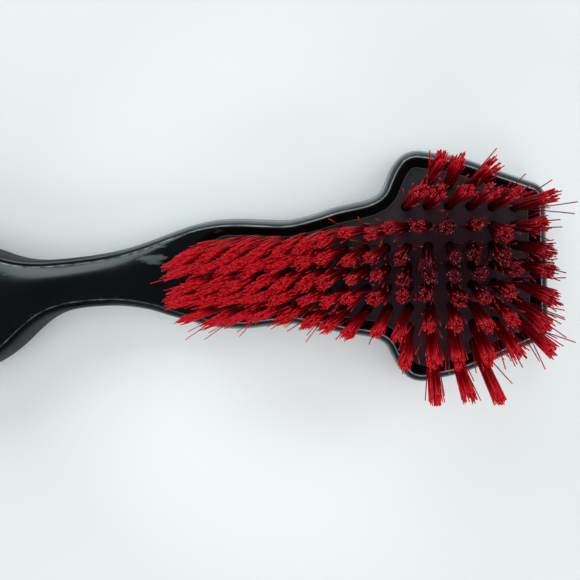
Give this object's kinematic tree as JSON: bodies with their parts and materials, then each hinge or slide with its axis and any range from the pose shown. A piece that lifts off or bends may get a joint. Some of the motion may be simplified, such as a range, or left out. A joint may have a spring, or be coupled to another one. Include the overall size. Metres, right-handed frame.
{
  "type": "club groove brush",
  "caption": "Long-handled hand brush with a flask-shaped head, a soft edge band and fanned stiff red nylon bristles for cleaning club grooves.",
  "frame": {"origin": "on the flat back of the head, under the middle of its wide part, where the brush rests on a table", "axes": "+Z the way the bristles stand, +X along the brush from grip to the front edge of the head, +Y across it"},
  "size_m": [0.2518, 0.0647, 0.0336],
  "materials": {
    "hard_black": "glossy injection-moulded black plastic with light handling marks",
    "soft_band": "satin dark blue-grey soft moulded band",
    "block": "satin dark green-grey moulded block",
    "bristle": "bright red stiff nylon filament, cut ends paler",
    "anchor_wire": "flat drawn steel wire",
    "screw_steel": "zinc-plated steel"
  },
  "bodies": {
    "root": {"handle_core": "hard_black", "soft_edge": "soft_band", "tuft_block": "block", "tuft_anchors": "anchor_wire", "block_screws": "screw_steel", "tufts_01": "bristle", "tufts_02": "bristle", "tufts_03": "bristle", "tufts_04": "bristle", "tufts_05": "bristle", "tufts_06": "bristle", "tufts_07": "bristle", "tufts_08": "bristle", "tufts_09": "bristle", "tufts_10": "bristle", "tufts_11": "bristle", "tufts_12": "bristle", "tufts_13": "bristle", "tufts_14": "bristle", "tufts_15": "bristle"}
  },
  "joints": []
}
